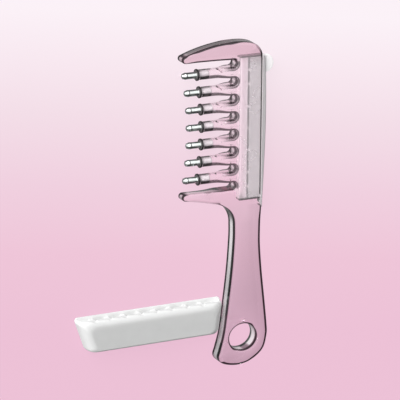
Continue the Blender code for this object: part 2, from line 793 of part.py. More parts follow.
def main():
    clear_scene()
    parts = new_collection("applicator_comb")
    cutters = new_collection("applicator_comb_cutters")
    frame = bpy.data.objects.new("comb_frame", None)
    cover_frame = bpy.data.objects.new("cover_frame", None)
    for empty in (frame, cover_frame):
        parts.objects.link(empty)

    pink = make_material("pink_clear_plastic", (0.86, 0.52, 0.64), 0.06, transmission=0.9)
    steel = make_material("polished_steel", (0.72, 0.72, 0.73), 0.18, metallic=1.0)
    ball_steel = make_material("ball_steel", (0.85, 0.85, 0.86), 0.08, metallic=1.0)
    silicone = make_material("white_silicone", (0.86, 0.85, 0.86), 0.45)
    cover_silicone = make_material("cover_silicone", (0.9, 0.9, 0.91), 0.4)

    pieces = [make_body(parts, cutters, pink)]
    pieces.append(make_lid(parts, new_collection("lid_pieces"), silicone))
    for index in range(TOOTH_COUNT):
        pieces.append(make_nozzle(index, parts, steel))
        pieces.append(make_ball(index, parts, ball_steel))
    cover = make_cover(parts, new_collection("cover_pieces"), cover_frame, cover_silicone)
    cover_frame.location = (*COVER_PLACE, -HALF_THICKNESS)
    cover_frame.rotation_euler = (0.0, 0.0, COVER_TURN)

    loose = [obj for obj in bpy.data.objects if obj.parent is None and obj is not frame]
    for obj in loose:
        obj.parent = frame
    bpy.context.view_layer.update()
    frame.location = -footprint_middle([*pieces, cover])


main()
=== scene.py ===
import math

import bmesh
import bpy
from mathutils import Matrix, Vector
from mathutils.geometry import delaunay_2d_cdt


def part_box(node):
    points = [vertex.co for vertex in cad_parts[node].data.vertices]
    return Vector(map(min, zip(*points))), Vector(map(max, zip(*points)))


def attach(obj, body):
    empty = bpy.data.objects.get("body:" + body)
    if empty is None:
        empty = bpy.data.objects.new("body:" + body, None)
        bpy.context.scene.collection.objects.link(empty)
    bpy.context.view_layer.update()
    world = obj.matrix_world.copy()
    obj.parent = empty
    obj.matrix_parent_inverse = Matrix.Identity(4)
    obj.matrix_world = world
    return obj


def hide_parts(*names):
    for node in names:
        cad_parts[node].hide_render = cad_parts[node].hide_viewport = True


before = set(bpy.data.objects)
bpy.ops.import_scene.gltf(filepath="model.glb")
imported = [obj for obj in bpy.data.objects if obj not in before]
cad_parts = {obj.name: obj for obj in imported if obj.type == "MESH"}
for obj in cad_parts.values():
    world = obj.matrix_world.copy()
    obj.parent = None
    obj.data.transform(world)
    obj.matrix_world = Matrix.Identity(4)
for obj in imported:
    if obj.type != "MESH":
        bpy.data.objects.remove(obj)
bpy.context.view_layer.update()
scene = bpy.context.scene
mm = 0.001

# The comb's own reference point: the lower corner of its spine, at half its thickness
placing = {"behindFirstBall": 35.5803, "belowFirstBall": 73.4}
firstBall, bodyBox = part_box("ball_1"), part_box("comb_body")
combOrigin = Vector((
    firstBall[0][0] + placing["behindFirstBall"] * mm,
    (firstBall[0][1] + firstBall[1][1]) / 2 - placing["belowFirstBall"] * mm,
    (bodyBox[0][2] + bodyBox[1][2]) / 2,
))
toFrame = Matrix.Translation(combOrigin) @ Matrix.Scale(mm, 4)
print("comb origin", [round(v / mm, 3) for v in combOrigin])


def ramp(value, low, high):
    share = min(max((value - low) / (high - low), 0.0), 1.0)
    return share * share * (3.0 - 2.0 * share)


def plateau(value, start, full, fading, gone):
    return ramp(value, start, full) * (1.0 - ramp(value, fading, gone))


def mix(first, second, share):
    return first + (second - first) * share


def arc(centre, radius, start, end, steps):
    angles = [math.radians(mix(start, end, step / steps)) for step in range(steps + 1)]
    return [(centre[0] + radius * math.cos(a), centre[1] + radius * math.sin(a)) for a in angles]


def straight(start, end, steps):
    return [(mix(start[0], end[0], s / steps), mix(start[1], end[1], s / steps)) for s in range(steps)]


def smoothThrough(points, steps):
    curve = []
    for before, start, end, after in zip(points, points[1:], points[2:], points[3:]):
        for step in range(steps):
            t = step / steps
            curve.append(tuple(
                0.5 * (2 * b + (c - a) * t + (2 * a - 5 * b + 4 * c - d) * t**2
                       + (3 * b - a - 3 * c + d) * t**3)
                for a, b, c, d in zip(before, start, end, after)
            ))
    curve.append(points[-2])
    return curve


def insideLoop(point, loop):
    x, y = point
    crossings = sum((y1 > y) != (y2 > y) and x < x1 + (y - y1) * (x2 - x1) / (y2 - y1)
                    for (x1, y1), (x2, y2) in zip(loop, loop[1:] + loop[:1]))
    return crossings % 2 == 1


def meshObject(name, data, *materials):
    mesh = bpy.data.meshes.new(name)
    data.to_mesh(mesh)
    data.free()
    piece = bpy.data.objects.new(name, mesh)
    scene.collection.objects.link(piece)
    for material in materials:
        mesh.materials.append(material)
    return piece


def applyModifiers(piece):
    graph = bpy.context.evaluated_depsgraph_get()
    mesh = bpy.data.meshes.new_from_object(piece.evaluated_get(graph))
    old = piece.data
    piece.modifiers.clear()
    piece.data = mesh
    mesh.name = piece.name
    bpy.data.meshes.remove(old)


def cut(piece, cutters, operation="DIFFERENCE"):
    for cutter in cutters:
        modifier = piece.modifiers.new("cut", "BOOLEAN")
        modifier.operation = operation
        modifier.solver = "EXACT"
        modifier.object = cutter
    applyModifiers(piece)
    for cutter in cutters:
        bpy.data.objects.remove(cutter, do_unlink=True)


def smoothShade(piece, angle=32.0):
    piece.data.shade_smooth()
    piece.data.set_sharp_from_angle(angle=math.radians(angle))
    weighted = piece.modifiers.new("normals", "WEIGHTED_NORMAL")
    weighted.keep_sharp = True
    applyModifiers(piece)


def newMaterial(name):
    material = bpy.data.materials.new(name)
    material.use_nodes = True
    material.cycles.emission_sampling = "NONE"
    tree = material.node_tree
    return material, tree, tree.nodes["Principled BSDF"]


def setInputs(node, values):
    # a value is another node's output, a colour or a number
    for name, value in values.items():
        if isinstance(value, bpy.types.NodeSocket):
            node.id_data.links.new(value, node.inputs[name])
        elif isinstance(value, (tuple, list)):
            node.inputs[name].default_value = (*value, 1.0)
        else:
            node.inputs[name].default_value = value


def newNode(tree, kind, values=None, **options):
    node = tree.nodes.new("ShaderNode" + kind)
    for name, option in options.items():
        setattr(node, name, option)
    setInputs(node, values or {})
    return node


def colourMix(tree, share, first, second):
    values = {"Factor": share, "A": first, "B": second}
    return newNode(tree, "Mix", values, data_type="RGBA").outputs["Result"]


def mathNode(tree, operation, *values):
    return newNode(tree, "Math", dict(enumerate(values)), operation=operation).outputs["Value"]


def mapRange(tree, value, fromLow, fromHigh, toLow, toHigh):
    limits = {"From Min": fromLow, "From Max": fromHigh, "To Min": toLow, "To Max": toHigh}
    return newNode(tree, "MapRange", {"Value": value, **limits}).outputs["Result"]


def attribute(tree, name):
    return newNode(tree, "Attribute", attribute_name=name).outputs["Fac"]


def rayKind(tree, name):
    return newNode(tree, "LightPath").outputs[name]


def texturePlace(tree, kind="Object"):
    return newNode(tree, "TexCoord").outputs[kind]


def leanAlong(tree, kind, direction):
    # how far a place, or a direction, reaches along a given one
    values = {0: texturePlace(tree, kind), 1: Vector(direction)}
    return newNode(tree, "VectorMath", values, operation="DOT_PRODUCT").outputs["Value"]


def bandAlong(tree, axis, start, end, toLow, toHigh):
    # goes over from one value to another between two places on the comb, in millimetres
    place = newNode(tree, "SeparateXYZ", {"Vector": texturePlace(tree)}).outputs[axis]
    origin = combOrigin["XYZ".index(axis)]
    return mapRange(tree, place, origin + start * mm, origin + end * mm, toLow, toHigh)


def grain(tree, scale, detail):
    values = {"Vector": texturePlace(tree), "Scale": scale, "Detail": detail}
    return newNode(tree, "TexNoise", values).outputs["Fac"]


def grainRange(tree, scale, detail, low, high):
    return mapRange(tree, grain(tree, scale, detail), 0.3, 0.7, low, high)


def mottled(tree, colour, shade, scale, detail):
    soft = grainRange(tree, scale, detail, 0.0, 1.0)
    return colourMix(tree, soft, [c * shade for c in colour], colour)


def colourRamp(tree, value, stops):
    node = newNode(tree, "ValToRGB", {"Fac": value})
    elements = node.color_ramp.elements
    for place, colour in stops[1:-1]:
        elements.new(place).color = (*colour, 1.0)
    for element, (place, colour) in ((elements[0], stops[0]), (elements[-1], stops[-1])):
        element.position = place
        element.color = (*colour, 1.0)
    return node.outputs["Color"]


def spread(stops):
    # stops given in millimetres, as shares of the way from the first to the last
    low, high = stops[0][0], stops[-1][0]
    return [((place - low) / (high - low), colour) for place, colour in stops]


def mixShaders(tree, share, first, second, output):
    either = newNode(tree, "MixShader", {"Fac": share, 1: first, 2: second})
    setInputs(output, {"Surface": either.outputs["Shader"]})


def shadowsPass(tree, shader):
    # light falls through the clear plastic onto what lies inside and behind it
    mixShaders(tree, rayKind(tree, "Is Shadow Ray"), shader.outputs["BSDF"],
               newNode(tree, "BsdfTransparent").outputs["BSDF"], tree.nodes["Material Output"])


clearPink = {
    "absorb": (0.80, 0.0, 0.317), "density": 13.0, "ior": 1.49, "roughness": (0.015, 0.04),
    # the tint up the comb, in millimetres from its reference point: painted shade darkens it toward the
    # handle's end, and the arch's top is pinker and darker
    "tintAndShade": ((-50.0, (0.79, 0.86, 0.84)), (-6.0, (0.92, 0.97, 0.95)), (6.0, (1.0, 1.0, 1.0)),
             (77.0, (1.0, 1.0, 1.0)), (81.0, (0.845, 0.71, 0.755))),
    # painted shade: the near-black of the dark lines painted along the body's rounded edges
    "teeth": (1.0, 1.0, 1.0), "edge": (0.002, 0.001, 0.0015),
    # painted shade and painted light: walls that look left and up are painted grey, or pale where their
    # pale share is high
    "wallShadeGrey": (0.15, 0.135, 0.14), "wallLightPale": (1.0, 0.93, 0.96), "wallClear": 0.05, "wallRough": 0.15,
}


def plasticTint(tree):
    # the tint changes up the comb, and is lightest in the teeth; its darkening toward the handle's end is
    # painted shade
    stops = clearPink["tintAndShade"]
    share = bandAlong(tree, "Y", stops[0][0], stops[-1][0], 0.0, 1.0)
    tintAndShade = colourRamp(tree, share, spread(stops))
    return colourMix(tree, attribute(tree, "pin"), tintAndShade, clearPink["teeth"])


def makeClearPink():
    material, tree, shader = newMaterial("clearPinkPlastic")
    edge, wall, pale = (attribute(tree, name) for name in ("edge", "wall", "pale"))
    # walls that look left and up are frosted, and also painted grey or pale as painted shade and painted
    # light
    frostAndShade = mathNode(tree, "MULTIPLY", wall, mathNode(tree, "SUBTRACT", 1.0, edge))
    paintedWallTone = colourMix(tree, pale, clearPink["wallShadeGrey"], clearPink["wallLightPale"])
    tintAndShade = colourMix(tree, frostAndShade, plasticTint(tree), paintedWallTone)
    rougher = mathNode(tree, "MULTIPLY", frostAndShade, clearPink["wallRough"])
    setInputs(shader, {
        "Base Color": colourMix(tree, edge, tintAndShade, clearPink["edge"]),
        "Transmission Weight": mapRange(tree, frostAndShade, 0.0, 1.0, 1.0, clearPink["wallClear"]),
        "IOR": clearPink["ior"],
        "Roughness": mathNode(tree, "ADD", grainRange(tree, 60.0, 3.0, *clearPink["roughness"]), rougher),
    })
    values = {"Color": clearPink["absorb"], "Density": clearPink["density"]}
    absorb = newNode(tree, "VolumeAbsorption", values)
    setInputs(tree.nodes["Material Output"], {"Volume": absorb.outputs["Volume"]})
    shadowsPass(tree, shader)
    return material


tankWall = {
    "colour": (0.96, 0.93, 0.95), "clear": 0.62, "roughness": (0.2, 0.3),
    # where the painted dark ends stop and start, and where the plug takes over from the empty hollow, which
    # glows as painted light
    "lowEnd": (2.1, 2.4), "highEnd": (79.9, 80.2), "plugFrom": (1.2, 1.8),
    # painted shade: the ends' dark colour; painted light: the empty hollow's faint glow colour and strength
    "end": (0.28, 0.26, 0.27), "endClear": 0.1, "emptyGlow": (1.0, 0.8, 0.9), "glow": 0.1,
}


def makeTankWall():
    # the hollow's walls have a fine, dull finish; painted light glows faintly where it is empty, and its
    # two ends are painted darker as painted shade
    material, tree, shader = newMaterial("tankWallPlastic")
    ends = mathNode(tree, "MAXIMUM", bandAlong(tree, "Y", *tankWall["lowEnd"], 1.0, 0.0),
                    bandAlong(tree, "Y", *tankWall["highEnd"], 0.0, 1.0))
    empty = bandAlong(tree, "X", *tankWall["plugFrom"], 1.0, 0.0)
    glow = mapRange(tree, ends, 0.0, 1.0, tankWall["glow"], 0.0)
    setInputs(shader, {
        "Base Color": colourMix(tree, ends, tankWall["colour"], tankWall["end"]),
        "Transmission Weight": mapRange(tree, ends, 0.0, 1.0, tankWall["clear"], tankWall["endClear"]),
        "IOR": clearPink["ior"],
        "Roughness": grainRange(tree, 90.0, 3.0, *tankWall["roughness"]),
        "Emission Color": tankWall["emptyGlow"],
        "Emission Strength": mathNode(tree, "MULTIPLY", empty, glow),
    })
    shadowsPass(tree, shader)
    return material


quietWall = {"ior": 1.03, "roughness": (0.0, 0.02)}


def makeQuietWall():
    # the bores, and the walls that look right and down, hardly show
    material, tree, shader = newMaterial("quietWallPlastic")
    setInputs(shader, {
        # painted shade: the dark lines along the rounded edges are painted here too
        "Base Color": colourMix(tree, attribute(tree, "edge"), plasticTint(tree), clearPink["edge"]),
        "Transmission Weight": 1.0,
        "IOR": quietWall["ior"],
        "Roughness": grainRange(tree, 300.0, 2.0, *quietWall["roughness"]),
    })
    shadowsPass(tree, shader)
    return material


def addBump(tree, shader, height, strength, distance):
    bump = newNode(tree, "Bump", {"Height": height, "Strength": strength, "Distance": distance * mm})
    setInputs(shader, {"Normal": bump.outputs["Normal"]})


steel = {"shade": 0.93, "marks": {"Scale": 1900.0, "Distortion": 1.5}, "roughness": (0.8, 1.3),
         "markDepth": (0.05, 0.01)}


def makeSteel(name, colour, roughness, metallic=1.0):
    material, tree, shader = newMaterial(name)
    # fine turning marks run round the piece
    values = {"Vector": texturePlace(tree), **steel["marks"]}
    marks = newNode(tree, "TexWave", values, wave_type="BANDS").outputs["Fac"]
    setInputs(shader, {
        "Base Color": mottled(tree, colour, steel["shade"], 500.0, 3.0),
        "Metallic": metallic,
        "Roughness": mapRange(tree, marks, 0.0, 1.0, *(roughness * s for s in steel["roughness"])),
    })
    addBump(tree, shader, marks, *steel["markDepth"])
    return material


silicone = {"shade": 0.965, "line": (0.05, 0.04, 0.045), "roughness": (0.85, 1.15),
            "grainDepth": (0.12, 0.03), "glow": (1.0, 0.985, 0.99)}


def makeSilicone(name, colour, roughness, paintedGlow, lined=False):
    material, tree, shader = newMaterial(name)
    shade = mottled(tree, colour, silicone["shade"], 160.0, 4.0)
    # painted shade: a dark line is painted where the edge attribute is set
    if lined:
        shade = colourMix(tree, attribute(tree, "edge"), shade, silicone["line"])
    setInputs(shader, {
        "Base Color": shade,
        "Roughness": grainRange(tree, 700.0, 2.0, *(roughness * s for s in silicone["roughness"])),
        # painted light: a glow brightens the parts marked for it, standing in for light let through the
        # silicone's narrow edges
        "Emission Color": silicone["glow"],
        "Emission Strength": mathNode(tree, "MULTIPLY", attribute(tree, "paintedGlow"), paintedGlow),
    })
    addBump(tree, shader, grain(tree, 1400.0, 3.0), *silicone["grainDepth"])
    return material


bodyPlastics = (makeClearPink(), makeTankWall(), makeQuietWall())
tankSlot, quietSlot = 1, 2  # places in the body's list
nozzleMetals = (
    makeSteel("nozzleSteel", (0.60, 0.63, 0.62), 0.16),
    makeSteel("rimBlack", (0.01, 0.008, 0.009), 0.5, 0.0),
    makeSteel("flangeFace", (0.13, 0.115, 0.12), 0.4, 0.0),
    makeSteel("shankSteel", (0.82, 0.74, 0.78), 0.5, 0.25),
)
rimSlot, faceSlot, shankSlot = 1, 2, 3  # places in the nozzles' list
ballSteel = makeSteel("ballSteel", (0.78, 0.81, 0.81), 0.07)
# painted shade: the lid's silicone is set greyer than the cover's white silicone, for the shade it sits in
lidSilicone = makeSilicone("lidSilicone", (0.72, 0.69, 0.705), 0.45, 0.5, lined=True)
coverSilicone = makeSilicone("coverSilicone", (0.82, 0.825, 0.82), 0.42, 0.22)
print("materials made")

comb = {
    "halfThickness": 5.0, "edgeRadius": 1.6, "tipRounding": 0.8, "rightRounding": 2.2, "edgeSteps": 10,
    "spineBack": 10.4, "rootX": -4.8, "archUnderside": (79.95, 79.45), "archTip": (-34.4, 81.75),
    "archTipRadius": 1.8,
    # the arch's top edge: points that it passes through, from the spine's back to the tip
    "archTop": ((10.4, 79.0), (10.1, 82.0), (8.9, 84.5), (6.5, 86.85), (2.5, 88.3), (-3.3, 89.0),
                (-9.8, 88.95), (-16.2, 88.3), (-22.6, 87.15), (-29.0, 85.5)),
    "guardTop": 7.6, "guardTip": (-33.35, 5.6), "guardTipRadius": 1.85,
    "throatCentre": (-18.0, -12.4), "throatRadius": 13.0,
    "right": ((10.8, -3.0), (10.6, -15.0), (10.7, -25.0), (11.9, -39.5), (13.85, -56.5)),
    "end": ((15.3, -70.0), (15.5, -76.3), (13.4, -84.2), (7.6, -89.4), (-0.3, -91.8),
            (-7.1, -91.4), (-11.9, -89.5), (-13.6, -86.4), (-12.5, -82.2)),
    "left": ((-10.2, -73.0), (-8.1, -56.5), (-6.1, -38.0), (-5.0, -21.0)),
    "holeCentre": (0.85, -76.3), "holeHalf": (8.1, 7.55), "holeRounding": 1.3,
    # heights at which one taper of the thickness goes over into the next
    "middle": 40.0, "archFrom": (77.0, 80.0), "guardUpTo": (8.0, 11.0), "handleUpTo": (-5.0, 1.0),
}
teeth = {
    "count": 7, "pitch": 9.67, "first": 72.4, "radius": 2.8, "tipArc": 180.0, "tipArcY": 39.8,
    "deepest": -32.5, "archTaper": (-18.0, 2.0, 3.8), "taper": (-15.5, -7.5, 2.8),
    "guardTaper": (-23.0, -13.0, 3.3), "rounding": (-17.5, -8.5), "pinRounding": 2.75,
}
tank = {"left": -2.6, "bottom": 0.9, "top": 80.9, "halfDepth": 3.5, "rounding": 0.8, "notch": 2.6}
nozzle = {
    "ball": 1.3, "lip": 0.6, "bead": (1.9, 2.5), "beadRadius": 1.9, "tube": 1.8, "flange": (8.5, 9.4),
    "flangeRadius": 3.2, "shankEnd": 15.5, "shank": 1.85, "bore": 0.7, "seat": 2.25, "feed": 1.5,
    "crimp": ((1.2, 1.58), (1.65, 1.66)), "groove": (0.02, 0.52), "gap": 0.3, "sides": 48,
    "softEdge": 0.16,
}


def toothY(index):
    return teeth["first"] - index * teeth["pitch"]


def tipX(index):
    along = toothY(index) - teeth["tipArcY"]
    return teeth["deepest"] - along * along / (2.0 * teeth["tipArc"])


def toothEnd(index):
    return tipX(index) + nozzle["flange"][1] + nozzle["gap"]


def slotEnd(upper, lower):
    radius = (upper - lower) / 2.0
    return arc((comb["rootX"] - radius, (upper + lower) / 2.0), radius, 90.0, -90.0, 16)


def archOutline():
    tip = arc(comb["archTip"], comb["archTipRadius"], 108.0, 270.0, 20)
    beyond = (tip[0][0] - 6.0, tip[0][1] - 2.2)
    top = smoothThrough([(comb["spineBack"], 74.0), *comb["archTop"], tip[0], beyond], 6)[:-1]
    underside = straight(tip[-1], (comb["rootX"] - 2.0, comb["archUnderside"][1]), 28)[1:]
    return top + tip + underside


def toothOutline(index):
    y = toothY(index)
    stations = [mix(comb["rootX"] - 2.6, toothEnd(index) + 0.25, step / 26) for step in range(27)]
    nose = arc((toothEnd(index) - 0.5, y), teeth["radius"], 90.0, 270.0, 18)
    top = [(x, y + teeth["radius"]) for x in stations]
    bottom = [(x, y - teeth["radius"]) for x in reversed(stations)]
    return top + nose + bottom


def guardOutline():
    tip = arc(comb["guardTip"], comb["guardTipRadius"], 92.0, 262.0, 20)
    top = straight((comb["rootX"] - 2.8, comb["guardTop"]), tip[0], 30)
    throat = arc(comb["throatCentre"], comb["throatRadius"], 86.0, 0.0, 30)
    underside = straight(tip[-1], throat[0], 20)[1:]
    return top + tip + underside + throat


def handleOutline():
    throatFoot = (comb["throatCentre"][0] + comb["throatRadius"], comb["throatCentre"][1])
    around = [(comb["spineBack"], 2.0), *comb["right"], *comb["end"], *comb["left"], throatFoot]
    path = [(comb["spineBack"], 12.0), *around, (throatFoot[0], throatFoot[1] + 6.0)]
    return list(reversed(smoothThrough(path, 12)))[1:]


def bodyOutline():
    outline = archOutline()
    upper = comb["archUnderside"][1]
    for index in range(teeth["count"]):
        outline += slotEnd(upper, toothY(index) + teeth["radius"])
        outline += toothOutline(index)
        upper = toothY(index) - teeth["radius"]
    spine = straight((comb["spineBack"], 4.0), (comb["spineBack"], 79.0), 16)
    return outline + slotEnd(upper, comb["guardTop"]) + guardOutline() + handleOutline() + spine


def holeOutline():
    (x, y), (halfX, halfY) = comb["holeCentre"], comb["holeHalf"]
    angles = [-2.0 * math.pi * step / 72 for step in range(72)]
    return [(x + halfX * math.cos(a), y + halfY * math.sin(a)) for a in angles]


def halfThickness(x, y):
    def tapered(taper):
        return mix(taper[2], comb["halfThickness"], ramp(x, taper[0], taper[1]))

    if y > comb["middle"]:
        return mix(tapered(teeth["taper"]), tapered(teeth["archTaper"]), ramp(y, *comb["archFrom"]))
    thickness = mix(tapered(teeth["guardTaper"]), tapered(teeth["taper"]), ramp(y, *comb["guardUpTo"]))
    return mix(comb["halfThickness"], thickness, ramp(y, *comb["handleUpTo"]))


def betweenTeeth(y):
    return comb["guardTop"] + 1.0 < y < comb["archUnderside"][1] - 1.0


def edgeRadius(x, y):
    away = math.hypot((x - comb["holeCentre"][0]) / comb["holeHalf"][0],
                      (y - comb["holeCentre"][1]) / comb["holeHalf"][1])
    if away < 1.02:
        return comb["holeRounding"]
    if betweenTeeth(y):
        end, root = teeth["rounding"]
        return mix(comb["edgeRadius"], teeth["pinRounding"], ramp(-x, -root, -end))
    # the arch and the guard have tighter edges, and the handle's right side has a rounder one
    outer = ramp(-x, 3.0, 12.0) * ramp(y, -12.0, -5.0)
    if 0.0 < y < comb["archUnderside"][0] + 0.3:
        outer *= 1.0 - 0.7 * ramp(x, -33.0, -28.0)
    right = ramp(x, 3.0, 8.0) * ramp(-y, 3.0, 12.0)
    return mix(mix(comb["edgeRadius"], comb["tipRounding"], outer), comb["rightRounding"], right)


def inwardNormals(points):
    normals = []
    for index, point in enumerate(points):
        into = (Vector(point) - Vector(points[index - 1])).normalized()
        out = (Vector(points[(index + 1) % len(points)]) - Vector(point)).normalized()
        middle = Vector((-into.y - out.y, into.x + out.x)).normalized()
        normals.append(middle / max(middle.dot(Vector((-into.y, into.x))), 0.5))
    return normals


faceGrid = {"x": (-34.0, 3.0), "y": (-6.0, 89.0), "step": 1.1, "clear": 0.45}


def facePoints(loop):
    # a grid of points lets the faces of the teeth and the arch follow their taper
    points = []
    step, clear = faceGrid["step"], faceGrid["clear"]
    lowX, highX = faceGrid["x"]
    for column in range(int((highX - lowX) / step)):
        x, y = lowX + column * step, faceGrid["y"][0]
        while y < faceGrid["y"][1]:
            near = ((x + clear, y), (x - clear, y), (x, y + clear), (x, y - clear))
            if all(insideLoop(p, loop) for p in near):
                points.append((x, y))
            y += step
    return points


# where and how strongly the dark lines and the wall shade are painted along the body's edges
edges = {
    "looksLeft": (0.81, -0.58), "wallRings": (0.7, 0.42), "lowerReach": 0.25, "fade": 0.15,
    # the pins' second painted line starts, is full, fades and ends at these shares of the rounded edge
    "second": (0.66, 0.78, 0.92, 1.0), "between": 0.86, "pinFrom": (3.0, 9.0),
    "holePatches": ((25.0, 35.0, 55.0, 66.0), (-88.0, -78.0, -58.0, -46.0)),  # in degrees
    "toothRoot": (-15.0, -8.0), "collar": (-19.2, -17.6), "slotEnd": -7.6,
    "archFrom": 60.0, "guardFrom": 2.0, "throatFrom": -13.0,
}


def tipTone(x, inward, tip, tone):
    # painted shade: a dark ring is painted round the flat end of a tip
    near = 1.0 - ramp(x, tip[0] + 0.2, tip[0] + 2.2)
    ring = near * ramp(abs(inward.y), 0.45, 0.85)
    wanted = {"upper": 1.0, "lower": 1.0, "matt": 0.9, "pale": 0.9, "reach": 0.7, "deep": 0.4}
    toned = {key: mix(value, wanted.get(key, value), near) for key, value in tone.items()}
    toned["wall"] = max(ring, tone["wall"] * (1.0 - near))
    return toned


def holeTone(x, y, left):
    angle = math.degrees(math.atan2(y - comb["holeCentre"][1], x - comb["holeCentre"][0]))
    # painted shade: patches of the hole's wall that look left are painted dark
    patch = max(plateau(angle, *degrees) for degrees in edges["holePatches"])
    return {"wall": 0.8 * patch * left, "pale": 0.9, "matt": 0.8 * left, "lower": 0.7 * left,
            "reach": mix(0.8, 0.35, left)}


def toothTone(x, inward, left):
    root, collar = ramp(x, *edges["toothRoot"]), 1.0 - ramp(x, *edges["collar"])
    # painted shade: the teeth's lines are darker where they look left, and the slot ends' walls are painted
    # dark
    slot = 0.8 * max(math.sin(6.0 * math.atan2(inward.y, inward.x)), 0.0)
    return {
        "upper": mix(mix(0.965, max(0.2, 0.95 * collar), left), 0.98, root),
        "lower": max(0.8 * ramp(x, -12.0, -8.0), 0.9 * collar) * left,
        "wall": slot if x > edges["slotEnd"] else 0.0,
        "matt": 0.0,
        "reach": mix(mix(0.7, 0.2, left), mix(0.72, 0.45, left), root),
        "second": mix(0.95, 0.95 * ramp(x, -14.0, -8.0), left),
        "pin": ramp(-x, *edges["pinFrom"]),
    }


def archTone(x, inward, left, tone):
    # painted shade: the arch's upper line is lighter toward the spine, and its wall is painted paler there
    upper = tone["upper"] * mix(1.0, 0.6, ramp(x, -4.0, 5.0) * ramp(-inward.y, 0.4, 0.8))
    reach = tone["reach"]
    if left > 0.5:
        reach = mix(0.2, 0.85, plateau(x, -33.0, -26.0, -10.0, 0.0))
    elif inward.y > 0.3:
        reach = 0.85
    pale = mix(0.0, 0.3, ramp(x, -8.0, 4.0))
    return {"pale": pale, "upper": upper, "lower": tone["lower"] * 0.85, "reach": reach}


def guardTone(x, left):
    # painted shade: the guard's lines and wall are painted darker toward its root
    root = ramp(x, -24.0, -11.0)
    return {"upper": mix(0.3, 0.95, root), "lower": 0.4 * left, "wall": mix(0.0, 0.8, root) * left,
            "matt": mix(0.4, 0.95, root) * left, "pale": mix(0.6, 0.2, root)}


def edgeTone(x, y, inward, isHole):
    # painted shade along a stretch of edge, set by how far it looks left and up: how dark its upper line,
    # the wall and its lower line are;
    # how dull and how shaded or pale the wall is; how far up its rounded edge the line reaches; and how
    # strong the pins' second line is
    left = ramp(inward.x * edges["looksLeft"][0] + inward.y * edges["looksLeft"][1], -0.1, 0.3)
    tone = {"upper": 1.0, "wall": 0.0, "lower": left, "matt": 0.9 * left, "pale": 0.45,
            "reach": mix(0.9, 0.32, left), "second": 0.0, "pin": 0.0, "hidden": 1.0 - left, "deep": 0.0}
    if isHole:
        return {**tone, **holeTone(x, y, left)}
    if betweenTeeth(y):
        return {**tone, **toothTone(x, inward, left)}
    if y > edges["archFrom"]:
        return tipTone(x, inward, comb["archTip"], {**tone, **archTone(x, inward, left, tone)})
    if y > edges["guardFrom"] and x < 0.0:
        return tipTone(x, inward, comb["guardTip"], {**tone, **guardTone(x, left)})
    if x < -3.0 and y > edges["throatFrom"]:
        # painted shade: the wall along the throat's curve is painted dark
        curve = ramp(x, -15.0, -11.0) * (1.0 - ramp(-y, 4.0, 13.0))
        tone.update(upper=mix(0.3, 1.0, ramp(x, -20.0, -13.0)), wall=0.85 * curve,
                    reach=mix(tone["reach"], 0.5, curve))
    tone["pale"] = mix(0.5, 1.0, ramp(y, -50.0, -20.0))
    return tone


def paintedLineShade(share, strength, reach, second):
    # how dark the painted line is at a share of the way up the rounded edge, with the pins' second line
    # above it
    low, full, fading, gone = edges["second"]
    first = strength * (1.0 - ramp(share, reach, reach + edges["fade"]))
    rise = mix(edges["between"], 1.0, ramp(share, low, full))
    again = second * rise * (1.0 - ramp(share, fading, gone)) if share > reach else 0.0
    return max(first, again)


def edgeVert(data, layers, point, normal, tone, side, step):
    # steps from 0 up climb the rounded edge, and those below 0 are the wall's own rings
    (x, y), share = point, max(step, 0) / comb["edgeSteps"]
    angle = math.radians(90.0 * share)
    radius = edgeRadius(x, y)
    inset = radius * (1.0 - math.cos(angle))
    height = halfThickness(x, y) - radius
    strength, reach, second = tone["lower"], edges["lowerReach"], 0.0
    if side > 0:
        strength, reach, second = tone["upper"], tone["reach"], tone["second"]
    if step < 0:
        height = height * edges["wallRings"][-step - 1]
        line = strength * (1.0 if step == -1 else tone["deep"])
    else:
        height = height + radius * math.sin(angle)
        line = paintedLineShade(share, strength, reach, second)
    vert = data.verts.new((x + normal.x * inset, y + normal.y * inset, side * height))
    # painted shade: each point keeps how dark its painted line is, how strongly its wall is frosted and
    # shaded, and how pale it is painted
    vert[layers["edge"]] = max(line, tone["wall"] * (1.0 - ramp(share, 0.0, 0.2)))
    vert[layers["wall"]] = tone["matt"] * (1.0 - ramp(share, 0.1, 0.45))
    for key in ("pale", "pin"):
        vert[layers[key]] = tone[key]
    return vert


def roundedPlate(loops):
    data = bmesh.new()
    layers = {key: data.verts.layers.float.new(key) for key in ("edge", "wall", "pale", "pin")}
    steps = comb["edgeSteps"]
    # from the upper face down over its rounded edge and the wall, then on to the lower face
    down = range(steps, -len(edges["wallRings"]) - 1, -1)
    bands = []
    for loop in loops:
        normals = inwardNormals(loop)
        tones = [edgeTone(x, y, normal.normalized(), loop is not loops[0])
                 for (x, y), normal in zip(loop, normals)]
        rings = [[edgeVert(data, layers, *place, side, step) for place in zip(loop, normals, tones)]
                 for side, order in ((1, down), (-1, down[::-1])) for step in order]
        bands.append(rings)
        for ringIndex, (upper, lower) in enumerate(zip(rings, rings[1:])):
            for index in range(len(upper)):
                after = (index + 1) % len(upper)
                face = data.faces.new((upper[index], lower[index], lower[after], upper[after]))
                if ringIndex >= steps and tones[index]["hidden"] > 0.5:
                    face.material_index = quietSlot
    for side, border in ((1, 0), (-1, -1)):
        for vert in fillFace(data, [rings[border] for rings in bands], side):
            vert[layers["pin"]] = ramp(-vert.co.x, *edges["pinFrom"]) if betweenTeeth(vert.co.y) else 0.0
    bmesh.ops.recalc_face_normals(data, faces=data.faces)
    return data


